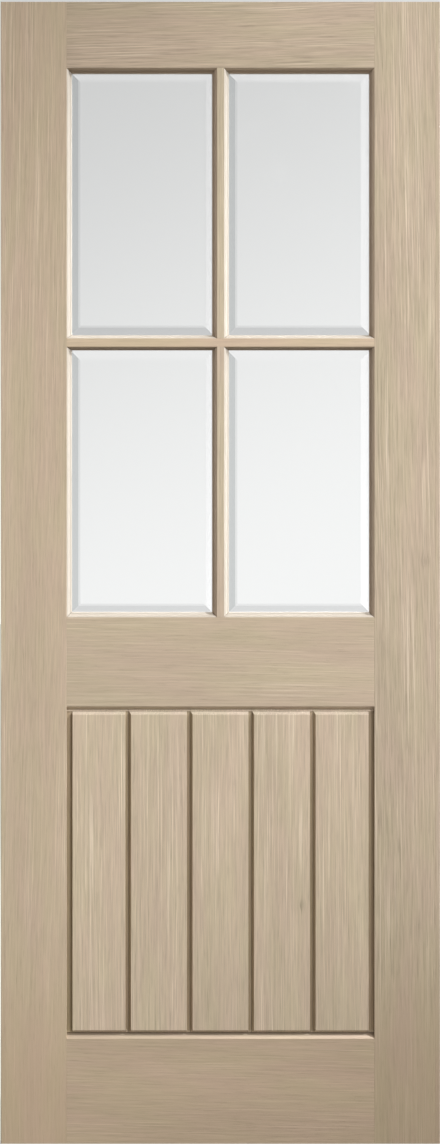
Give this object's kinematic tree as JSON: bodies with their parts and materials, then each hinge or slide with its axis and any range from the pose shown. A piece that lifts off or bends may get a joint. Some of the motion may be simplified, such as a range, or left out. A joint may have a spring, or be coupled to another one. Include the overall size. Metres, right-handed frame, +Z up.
{
  "type": "glazed door leaf",
  "caption": "Internal oak door leaf with clear bevelled glass lights divided by slim bars above a panel of five upright planks, plain stiles and rails.",
  "frame": {"origin": "foot of the hinge edge, at floor level, in the middle of the leaf's thickness", "axes": "+X from the hinge edge to the lock edge, +Y from the front face to the back face, +Z up"},
  "size_m": [0.762, 0.035, 1.981],
  "materials": {
    "oak_frame": "satin",
    "oak_lipping": "satin",
    "oak_bead": "satin",
    "oak_plank": "satin",
    "clear_glass": "polished"
  },
  "bodies": {
    "root": {"hinge_stile": "oak_frame", "lock_stile": "oak_frame", "top_rail": "oak_frame", "middle_rail": "oak_frame", "bottom_rail": "oak_frame", "cross_bar": "oak_frame", "upper_upright_bar": "oak_frame", "lower_upright_bar": "oak_frame", "hinge_edge_lipping": "oak_lipping", "lock_edge_lipping": "oak_lipping", "upper_left_glass": "clear_glass", "upper_left_front_side_beads": "oak_bead", "upper_left_front_cross_beads": "oak_bead", "upper_left_back_side_beads": "oak_bead", "upper_left_back_cross_beads": "oak_bead", "upper_right_glass": "clear_glass", "upper_right_front_side_beads": "oak_bead", "upper_right_front_cross_beads": "oak_bead", "upper_right_back_side_beads": "oak_bead", "upper_right_back_cross_beads": "oak_bead", "lower_left_glass": "clear_glass", "lower_left_front_side_beads": "oak_bead", "lower_left_front_cross_beads": "oak_bead", "lower_left_back_side_beads": "oak_bead", "lower_left_back_cross_beads": "oak_bead", "lower_right_glass": "clear_glass", "lower_right_front_side_beads": "oak_bead", "lower_right_front_cross_beads": "oak_bead", "lower_right_back_side_beads": "oak_bead", "lower_right_back_cross_beads": "oak_bead", "plank_1": "oak_plank", "plank_2": "oak_plank", "plank_3": "oak_plank", "plank_4": "oak_plank", "plank_5": "oak_plank"}
  },
  "joints": []
}
